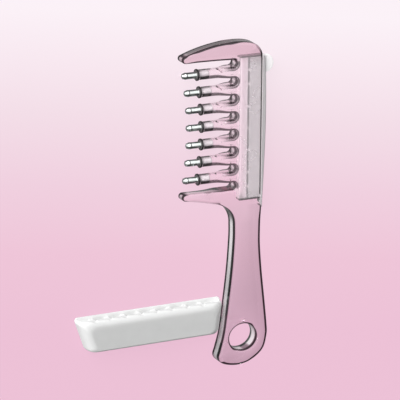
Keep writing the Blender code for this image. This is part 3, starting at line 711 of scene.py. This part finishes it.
def fillFace(data, borderRings, side):
    verts = [vert for ring in borderRings for vert in ring]
    borders = []
    first = 0
    for ring in borderRings:
        borders += [(first + index, first + (index + 1) % len(ring)) for index in range(len(ring))]
        first += len(ring)
    outline, hole = ([(vert.co.x, vert.co.y) for vert in ring] for ring in borderRings)
    added = [data.verts.new((x, y, side * halfThickness(x, y))) for x, y in facePoints(outline)]
    verts += added
    flat = [Vector((vert.co.x, vert.co.y)) for vert in verts]
    _, _, faces, sources, _, _ = delaunay_2d_cdt(flat, borders, [], 2, 1e-5)
    chosen = [verts[source[0]] for source in sources]
    for face in faces:
        corners = [chosen[index] for index in face]
        middle = (sum(v.co.x for v in corners) / 3.0, sum(v.co.y for v in corners) / 3.0)
        if insideLoop(middle, outline) and not insideLoop(middle, hole):
            data.faces.new(corners if side > 0 else corners[::-1])
    return added


def joinRings(data, lower, upper):
    # a band of faces between two rings, or between a ring and a single point
    count = max(len(lower), len(upper))
    for index in range(count):
        after = (index + 1) % count
        corners = (lower[index % len(lower)], lower[after % len(lower)],
                   upper[after % len(upper)], upper[index % len(upper)])
        data.faces.new(list(dict.fromkeys(corners)))


def turnedMesh(profile, place, sides, closed=False):
    data = bmesh.new()
    rings = []
    for x, radius in profile:
        angles = [2 * math.pi * s / sides for s in range(sides if radius > 0.0 else 1)]
        places = [(radius * math.cos(a), radius * math.sin(a)) for a in angles]
        rings.append([data.verts.new((place[0] + x, place[1] + y, place[2] + z)) for y, z in places])
    if closed:
        rings.append(rings[0])
    for first, second in zip(rings, rings[1:]):
        joinRings(data, first, second)
    bmesh.ops.recalc_face_normals(data, faces=data.faces)
    return data


def roundedBoxMesh(low, high, radius):
    data = bmesh.new()
    bmesh.ops.create_cube(data, size=1.0)
    bmesh.ops.scale(data, vec=[h - l for l, h in zip(low, high)], verts=data.verts)
    bmesh.ops.translate(data, vec=[(h + l) / 2.0 for l, h in zip(low, high)], verts=data.verts)
    if radius > 0:
        bmesh.ops.bevel(data, geom=list(data.edges), offset=radius, segments=4, profile=0.5,
                        affect="EDGES")
    return data


def inFrame(data):
    for vert in data.verts:
        vert.co = vert.co * mm + combOrigin
    return data


def toothBore(index):
    # it stands open before the tooth's end, seats the nozzle's shank, and leads on into the hollow
    start = toothEnd(index)
    seat = tipX(index) + nozzle["shankEnd"] + nozzle["gap"] - start
    depth = tank["left"] + 2.0 - start
    clear = teeth["radius"] + 0.9
    profile = [
        (-6.0, 0.0), (-6.0, clear), (0.0, clear), (0.0, nozzle["seat"]),
        (seat, nozzle["seat"]), (seat + 0.6, nozzle["feed"]), (depth, nozzle["feed"]), (depth, 0.0),
    ]
    return turnedMesh(profile, (start, toothY(index), 0.0), 40)


def dressed(data, slot):
    for face in data.faces:
        face.material_index = slot
    return data


def extrudedMesh(points, halfDepth):
    data = bmesh.new()
    low, high = ([data.verts.new((x, y, z)) for x, y in points] for z in (-halfDepth, halfDepth))
    data.faces.new(low[::-1])
    data.faces.new(high)
    joinRings(data, low, high)
    bmesh.ops.recalc_face_normals(data, faces=data.faces)
    return data


def makeBody():
    body = meshObject("combBody", roundedPlate([bodyOutline(), holeOutline()]), *bodyPlastics)
    back, deep = comb["spineBack"], tank["halfDepth"]
    low, high = (tank["left"], tank["bottom"], -deep), (back + 4.0, tank["top"], deep)
    tankSpace = dressed(roundedBoxMesh(low, high, tank["rounding"]), tankSlot)
    cutters = [meshObject("tankSpace", tankSpace, *bodyPlastics)]
    cutters += [meshObject(f"toothBore{i}", dressed(toothBore(i), quietSlot), *bodyPlastics)
                for i in range(teeth["count"])]
    notch = [(back - tank["notch"], 0.2), (back + 0.4, -3.2), (back + 3.0, -3.2), (back + 3.0, 2.4),
             (back - tank["notch"], 2.4)]
    cutters.append(meshObject("thumbNotch", extrudedMesh(notch, 8.0)))
    cut(body, cutters)
    smoothShade(body)
    body.data.transform(toFrame)
    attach(body, "root")
    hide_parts("comb_body")


makeBody()
print("comb body made")


def softened(profile, radius, steps=3):
    # rounds the corners of a closed turning profile
    points = []
    for index, point in enumerate(profile):
        here = Vector(point)
        back = Vector(profile[index - 1]) - here
        ahead = Vector(profile[(index + 1) % len(profile)]) - here
        reach = min(radius, back.length * 0.45, ahead.length * 0.45)
        start, end = here + back.normalized() * reach, here + ahead.normalized() * reach
        for step in range(steps + 1):
            t = step / steps
            points.append(tuple((1 - t) ** 2 * start + 2 * t * (1 - t) * here + t * t * end))
    return points


def makeNozzle(index):
    ball, lip, tube, rim = (nozzle[key] for key in ("ball", "lip", "tube", "flangeRadius"))
    shank, shankEnd, bore = (nozzle[key] for key in ("shank", "shankEnd", "bore"))
    beadFront, beadBack = nozzle["bead"]
    front, back = nozzle["flange"]
    inner, cup = ball + 0.2, 2.0 * ball + 0.2
    mouth = math.sqrt(ball ** 2 - (ball - lip) ** 2) + 0.1
    profile = [
        (lip, mouth), (lip + 0.05, mouth + 0.28), *nozzle["crimp"],
        (beadFront, nozzle["beadRadius"]), (beadBack, nozzle["beadRadius"]), (beadBack + 0.55, tube),
        (front - 0.7, tube), (front, tube + 0.12), (front, rim - 0.35), (front + 0.02, rim),
        (back - 0.02, rim), (back, rim - 0.35), (back, shank), (shankEnd - 0.35, shank),
        (shankEnd, shank - 0.3), (shankEnd, bore), (cup, bore), (cup - 0.5, inner * 0.86),
        (ball + 0.4, inner), (ball, inner),
    ]
    place = (tipX(index), toothY(index), 0.0)
    data = turnedMesh(softened(profile, nozzle["softEdge"]), place, nozzle["sides"], closed=True)
    # the flange's rim is black, its front is dark and its shank is dull; the groove behind the bead is
    # painted black as painted shade
    grooveFront, grooveBack = (beadBack + further for further in nozzle["groove"])
    for face in data.faces:
        middle = face.calc_center_median()
        along, away = middle.x - place[0], math.hypot(middle.y - place[1], middle.z)
        if away > rim - 0.5 or grooveFront < along < grooveBack:
            face.material_index = rimSlot
        elif front - 0.2 < along < back - 0.1 and away > tube + 0.1:
            face.material_index = faceSlot
        elif along > back - 0.05:
            face.material_index = shankSlot
    piece = meshObject(f"nozzle{index + 1}", inFrame(data), *nozzleMetals)
    smoothShade(piece, 40.0)
    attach(piece, "root")
    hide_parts(f"nozzle_{index + 1}")


def makeBall(index):
    radius = nozzle["ball"]
    profile = [(radius - radius * math.cos(math.pi * s / 24), radius * math.sin(math.pi * s / 24))
               for s in range(25)]
    profile[0], profile[-1] = (0.0, 0.0), (2.0 * radius, 0.0)
    data = turnedMesh(profile, (tipX(index), toothY(index), 0.0), 40)
    piece = meshObject(f"ball{index + 1}", inFrame(data), ballSteel)
    smoothShade(piece, 60.0)
    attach(piece, "root")
    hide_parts(f"ball_{index + 1}")


for index in range(teeth["count"]):
    makeNozzle(index)
    makeBall(index)
print("nozzles and balls made")

lid = {
    "plugDepth": 8.2, "notch": (1.2, 0.7), "notches": (-32.3, -24.4, -12.0, 0.0, 12.0, 24.4, 32.3),
    "bottom": -3.4, "top": 80.6, "innerTop": 80.2, "halfWidth": 4.4, "edge": 0.6, "plugEdge": 0.8,
    "bulge": ((11.0, -2.6), (11.9, 15.0), (12.7, 41.0), (12.6, 64.0), (12.1, 75.0)),
    "tabY": 75.0, "tabHalf": 4.8, "tabReach": 18.2, "tabHalfThickness": 1.3, "tabSweep": 80.0,
    "plugBorder": 0.4, "tabBorder": 0.3, "glowFrom": (2.2, 3.2),
}


def plugOutline():
    inner, outer = comb["spineBack"] - lid["plugDepth"], comb["spineBack"] + 1.2
    bottom, top = tank["bottom"] + nozzle["gap"], tank["top"] - nozzle["gap"]
    half, deep = lid["notch"][0] / 2.0, lid["notch"][1]
    points = [(outer, bottom), (outer, top), (inner, top)]
    for place in reversed(lid["notches"]):
        y = (bottom + top) / 2.0 + place
        points += [(inner, y + half), (inner + deep, y + half), (inner + deep, y - half), (inner, y - half)]
    return points + [(inner, bottom)]


def flangeOutline():
    # the first and last points only steer the curve
    back, bottom, top = comb["spineBack"], lid["bottom"], lid["top"]
    start, end = (back + 0.35, bottom), (back + 0.9, top)
    before, beyond = (start[0] - 0.4, bottom - 4.0), (end[0] - 1.5, top + 4.0)
    outer = smoothThrough([before, start, *lid["bulge"], end, beyond], 8)
    inner = back + nozzle["gap"]
    return [(inner, bottom + 0.4), *outer, (inner, lid["innerTop"])]


def tabOutline():
    root, half, sweep = comb["spineBack"] + 1.0, lid["tabHalf"], lid["tabSweep"]
    reach = lid["tabReach"] - root
    points = [(root, lid["tabY"] - half)]
    for step in range(25):
        angle = math.radians(-sweep + 2.0 * sweep * step / 24)
        points.append((root + reach * (0.35 + 0.65 * math.cos(angle)),
                       lid["tabY"] + half * math.sin(angle) / math.sin(math.radians(sweep))))
    return points + [(root, lid["tabY"] + half)]


def slabMesh(outline, halfDepth, edge, room=None, border=0.0):
    # a flat shape with eased edges, and a flat border inside them
    data = bmesh.new()
    normals = inwardNormals(outline)
    room = room or [edge] * len(outline)
    steps = 5
    levels = [(math.radians(90.0 * step / steps), 0.0) for step in range(steps + 1)]
    if border:
        levels.append((math.radians(90.0), border))
    rings = []
    for side, order in ((1, levels[::-1]), (-1, levels)):
        for angle, further in order:
            height = halfDepth - edge + edge * math.sin(angle)
            insets = [most * (1.0 - math.cos(angle)) + further for most in room]
            rings.append([data.verts.new((x + normal.x * inset, y + normal.y * inset, side * height))
                          for (x, y), normal, inset in zip(outline, normals, insets)])
    for upper, lower in zip(rings, rings[1:]):
        for index in range(len(upper)):
            after = (index + 1) % len(upper)
            data.faces.new((upper[index], lower[index], lower[after], upper[after]))
    data.faces.new(rings[0])
    data.faces.new(rings[-1][::-1])
    bmesh.ops.recalc_face_normals(data, faces=data.faces)
    return data


def paint(mesh, name, valueAt):
    layer = mesh.attributes.new(name, "FLOAT", "POINT")
    for index, vert in enumerate(mesh.vertices):
        layer.data[index].value = valueAt(vert.co)


def lidGlowShare(place):
    # painted light: the glow share grows past the spine's back, over the flange and the tab
    low, high = (comb["spineBack"] + further for further in lid["glowFrom"])
    return ramp(place.x, low, high)


def plugLine(place):
    # painted shade: the plug's inner upper edge is painted as a dark line, broken by the notches
    edge = lid["plugEdge"]
    share = 1.0 - (tank["halfDepth"] - nozzle["gap"] - place.z) / edge
    if not 0.1 < share < 0.99:
        return 0.0
    inset = edge * (1.0 - math.sqrt(1.0 - share * share))
    return 1.0 if place.x < comb["spineBack"] - lid["plugDepth"] + inset + 0.05 else 0.0


def makeLid():
    rim = flangeOutline()
    slim = [min(lid["edge"], 0.45 * (x - rim[0][0])) for x, _ in rim]
    flange = meshObject("tankLid", slabMesh(rim, lid["halfWidth"], lid["edge"], room=slim), lidSilicone)
    deep = tank["halfDepth"] - nozzle["gap"]
    plug = slabMesh(plugOutline(), deep, lid["plugEdge"], border=lid["plugBorder"])
    tab = slabMesh(tabOutline(), lid["tabHalfThickness"], lid["edge"], border=lid["tabBorder"])
    cut(flange, [meshObject("lidPlug", plug), meshObject("lidTab", tab)], "UNION")
    paint(flange.data, "paintedGlow", lidGlowShare)
    paint(flange.data, "edge", plugLine)
    smoothShade(flange, 40.0)
    flange.data.transform(toFrame)
    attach(flange, "root")
    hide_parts("tank_lid")


cover = {
    "place": (-95.3, -55.85), "turn": 1.0, "length": 86.0, "depth": 18.9, "height": 8.9,
    "narrowing": (6.4, 2.7), "wall": 1.2, "lip": 1.0, "mouth": 4.3, "corners": (1.7, 3.3),
    # how each upper edge is rounded, inward and down, and the levels at which that is drawn
    "mouthRounding": (4.0, 2.2), "endRounding": (5.5, 6.6), "backRounding": (1.6, 3.4),
    "levels": (0.9, 0.8, 0.7, 0.6, 0.5, 0.42, 0.33, 0.26, 0.2, 0.14, 0.1, 0.06, 0.03, 0.012, 0.0),
    "ribs": (8, 9.8, 9.03, 2.2), "scallop": (2.2, 0.8), "softEdge": 0.22,
}


def roundedPolygon(corners, radii, steps):
    points = []
    for index, corner in enumerate(corners):
        here = Vector(corner)
        back = (Vector(corners[index - 1]) - here).normalized()
        ahead = (Vector(corners[(index + 1) % len(corners)]) - here).normalized()
        half = back.angle(ahead) / 2.0
        reach = radii[index] / math.tan(half)
        centre = here + (back + ahead).normalized() * (radii[index] / math.sin(half))
        start = here + back * reach - centre
        for step in range(steps + 1):
            turn = (math.pi - 2.0 * half) * step / steps
            points.append((centre.x + start.x * math.cos(turn) - start.y * math.sin(turn),
                           centre.y + start.x * math.sin(turn) + start.y * math.cos(turn)))
    return points


def comesIn(height):
    # how far the rounded upper edges of the mouth, the ends and the back have come in
    reaches = []
    for inward, down in (cover[key] for key in ("mouthRounding", "endRounding", "backRounding")):
        share = max((height - (cover["height"] - down)) / down, 0.0)
        reaches.append(inward * (1.0 - math.sqrt(max(1.0 - share * share, 0.0))))
    return reaches


def coverSection(height, mouth, ends, back, near, far):
    left, right = (narrowing / cover["depth"] for narrowing in cover["narrowing"])
    closed = back - cover["depth"]
    length = cover["length"]
    outline = [(length - ends + right * mouth, mouth), (ends - left * mouth, mouth),
               (ends - left * closed, closed), (length - ends + right * closed, closed)]
    return [(x, y, height) for x, y in roundedPolygon(outline, (near, near, far, far), 9)]


def coverOutside():
    near, far = cover["corners"]
    wall = cover["wall"]
    # the foot: its heights, where its mouth lies, and how far its ends and its back come in
    foot = ((0.0, -0.4, 0.4, 0.4), (0.15, -0.15, 0.15, 0.15), (0.4, 0.0, 0.0, 0.0),
            (wall - 0.15, 0.0, 0.0, 0.0), (wall, -0.15, 0.0, 0.0))
    levels = [coverSection(*level, near, far) for level in foot]
    heights = [cover["height"] - cover["endRounding"][1] * share for share in cover["levels"]]
    for height in [wall + 0.05] + heights:
        mouth, ends, back = comesIn(height)
        softness = ramp(height, 0.5 * cover["height"], cover["height"])
        levels.append(coverSection(height, -cover["lip"] - mouth, ends, back, near + softness * 2.0, far))
    return levels


def coverInside():
    wall = cover["wall"]
    near, far = 0.4, cover["corners"][1] - wall
    roof = wall + cover["mouth"]
    levels = []
    for height in (wall, 0.5 * (wall + roof), roof):
        levels.append(coverSection(height, 3.0, comesIn(height + wall)[1] + wall, wall, near, far))
    for share in (0.0, 0.4, 0.75, 1.0):
        height = mix(roof + 0.05, cover["height"] - wall, share)
        mouth, ends, back = comesIn(height + wall)
        mouth = -cover["lip"] - 0.6 - mouth
        levels.append(coverSection(height, mouth, ends + wall, back + wall, near, far))
    return levels


def loftedMesh(levels):
    data = bmesh.new()
    rings = [[data.verts.new(point) for point in level] for level in levels]
    for lower, upper in zip(rings, rings[1:]):
        joinRings(data, lower, upper)
    data.faces.new(rings[0][::-1])
    data.faces.new(rings[-1])
    return data


def coverGlowShare(place):
    # painted light: the glow share is full at the cover's ends, and half along its mouth side and its back
    x, y, _ = place
    depth, length = cover["depth"], cover["length"]
    left, right = (narrowing / depth for narrowing in cover["narrowing"])
    ends = max(1.0 - ramp(x - left * -y, 0.5, 6.5), ramp(x + right * -y, length - 6.5, length - 0.5))
    sides = max(ramp(y, -8.0, -2.0), 1.0 - ramp(y, -depth, 2.5 - depth))
    return max(ends, 0.5 * sides)


def makeCover():
    piece = meshObject("toothCover", loftedMesh(coverOutside()), coverSilicone)
    hollow = meshObject("coverSpace", loftedMesh(coverInside()))
    count, first, pitch, thickness = cover["ribs"]
    radius, bite = cover["scallop"]
    depth, height = cover["depth"], cover["height"]
    front = -cover["lip"] - bite
    ribs, scallops = [], []
    for index in range(count):
        x = first + index * pitch
        low, high = (x - thickness / 2.0, -depth - 1.0, -1.0), (x + thickness / 2.0, front, height + 1.0)
        ribs.append(meshObject(f"rib{index}", roundedBoxMesh(low, high, 0.0)))
        data = extrudedMesh(arc((x, front + radius), radius, 0.0, 345.0, 23), height)
        bmesh.ops.translate(data, vec=(0.0, 0.0, cover["wall"] + height), verts=data.verts)
        scallops.append(meshObject(f"scallop{index}", data))
    cut(hollow, ribs)
    cut(piece, [*scallops, hollow])
    bevel = piece.modifiers.new("softEdge", "BEVEL")
    bevel.width = cover["softEdge"]
    bevel.segments = 3
    bevel.limit_method = "ANGLE"
    bevel.angle_limit = math.radians(50.0)
    applyModifiers(piece)
    paint(piece.data, "paintedGlow", coverGlowShare)
    smoothShade(piece, 35.0)
    turned = Matrix.Rotation(math.radians(cover["turn"]), 4, "Z")
    stand = Matrix.Translation((*cover["place"], -comb["halfThickness"]))
    piece.data.transform(toFrame @ stand @ turned)
    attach(piece, "root")
    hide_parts("tooth_cover")


makeLid()
makeCover()
print("lid and cover made")

floor = {
    "size": 1.3, "sides": 96, "drop": 0.0001, "glow": 0.94, "lit": 0.1, "mirrored": (0.28, 0.28, 0.28),
    # the way up the picture, and the colours that lie along it, in millimetres from the origin
    "upward": (0.13, 0.9563, 0.0),
    "colours": ((-72.0, (0.840, 0.533, 0.672)), (-32.0, (0.855, 0.558, 0.686)),
                (5.0, (0.868, 0.630, 0.738)), (43.0, (0.895, 0.730, 0.805)),
                (75.0, (0.940, 0.820, 0.880)), (97.0, (0.965, 0.880, 0.930))),
}


def makeFloor():
    material, tree, shader = newMaterial("floorPaper")
    stops = floor["colours"]
    up = leanAlong(tree, "Object", floor["upward"])
    share = mapRange(tree, up, stops[0][0] * mm, stops[-1][0] * mm, 0.0, 1.0)
    # painted light: the paper grows paler and lighter toward the far side
    paper = colourRamp(tree, share, spread(stops))
    # painted reflection: glossy and diffuse rays see a darker grey instead of the paper, so that polished
    # edges are drawn dark
    glossy, through, diffuse = (rayKind(tree, f"Is {name} Ray")
                                for name in ("Glossy", "Transmission", "Diffuse"))
    bounced = mathNode(tree, "MAXIMUM", mathNode(tree, "SUBTRACT", glossy, through), diffuse)
    shown = colourMix(tree, bounced, paper, floor["mirrored"])
    setInputs(shader, {
        "Base Color": colourMix(tree, floor["lit"], (0.0, 0.0, 0.0), shown),
        "Emission Color": shown, "Emission Strength": floor["glow"],
        "Roughness": 1.0, "Specular IOR Level": 0.0,
    })
    data = bmesh.new()
    bmesh.ops.create_circle(data, cap_ends=True, segments=floor["sides"], radius=floor["size"])
    ground = meshObject("floorSheet", data, material)
    ground.location = (combOrigin.x, combOrigin.y, -floor["drop"])


studio = {
    # soft lamps: the direction each one shines from, its strength and its spread in degrees
    "lamps": (((-0.64, 0.62, 0.45), 3.5, 50.0), ((0.2, 0.0, 1.0), 0.5, 170.0)),
    # what polished pieces mirror: brightness against how far a direction leans to the pale box
    "boxAt": (-0.15, 0.70, 0.70), "strength": 1.6,
    "box": ((0.0, 0.03), (0.30, 0.18), (0.45, 0.34), (0.62, 1.0)),
    "backdrop": (0.9, 0.8, 0.85),
}


def makeLamps():
    for index, (toward, strength, spread) in enumerate(studio["lamps"]):
        lamp = bpy.data.lights.new(f"softLamp{index}", "SUN")
        lamp.energy = strength
        lamp.angle = math.radians(spread)
        lamp.cycles.use_multiple_importance_sampling = False
        holder = bpy.data.objects.new(lamp.name, lamp)
        scene.collection.objects.link(holder)
        holder.rotation_mode = "QUATERNION"
        holder.rotation_quaternion = Vector(toward).to_track_quat("Z", "Y")


def makeSurroundings():
    world = bpy.data.worlds.new("studio")
    scene.world = world
    world.use_nodes = True
    world.cycles.sampling_method = "NONE"
    world.cycles_visibility.diffuse = False
    tree = world.node_tree
    tree.nodes.clear()
    lean = leanAlong(tree, "Generated", Vector(studio["boxAt"]).normalized())
    box = colourRamp(tree, lean, [(place, (light, light, light)) for place, light in studio["box"]])
    lit = newNode(tree, "Background", {"Color": box, "Strength": studio["strength"]})
    seen = newNode(tree, "Background", {"Color": studio["backdrop"]})
    mixShaders(tree, rayKind(tree, "Is Camera Ray"), lit.outputs["Background"],
               seen.outputs["Background"], newNode(tree, "OutputWorld"))


# The photograph's own view: from the left and above, with a long lens
view = {"turn": 25.0, "raise": 17.0, "roll": 0.65, "pixels": 400.0, "mmPerPixel": 0.5365,
        "reference": (240.0, 200.0), "distance": 2.5, "sensor": 36.0, "farthest": 20.0}


def makeCamera():
    turn, raised, roll = (math.radians(view[key]) for key in ("turn", "raise", "roll"))
    right = Vector((math.cos(turn), 0.0, math.sin(turn)))
    up = Vector((math.sin(turn) * math.sin(raised), math.cos(raised), -math.cos(turn) * math.sin(raised)))
    toward = right.cross(up)
    rolledRight = right * math.cos(roll) + up * math.sin(roll)
    rolledUp = up * math.cos(roll) - right * math.sin(roll)
    half = view["pixels"] / 2.0
    side = (half - view["reference"][0]) * view["mmPerPixel"] * mm
    rise = (view["reference"][1] - half) * view["mmPerPixel"] * mm
    target = combOrigin + rolledRight * side + rolledUp * rise
    data = bpy.data.cameras.new("photoCamera")
    data.sensor_width = view["sensor"]
    data.lens = view["sensor"] * view["distance"] / (view["pixels"] * view["mmPerPixel"] * mm)
    data.clip_end = view["farthest"]
    camera = bpy.data.objects.new("photoCamera", data)
    scene.collection.objects.link(camera)
    basis = Matrix((rolledRight, rolledUp, toward)).transposed().to_4x4()
    camera.matrix_world = Matrix.Translation(target + toward * view["distance"]) @ basis
    scene.camera = camera


makeFloor()
makeLamps()
makeSurroundings()
makeCamera()
scene.view_settings.view_transform = "Standard"
scene.cycles.max_bounces = 24
scene.cycles.transmission_bounces = 24
scene.cycles.transparent_max_bounces = 32
scene.cycles.caustics_refractive = False
scene.cycles.caustics_reflective = False
print("stage made")
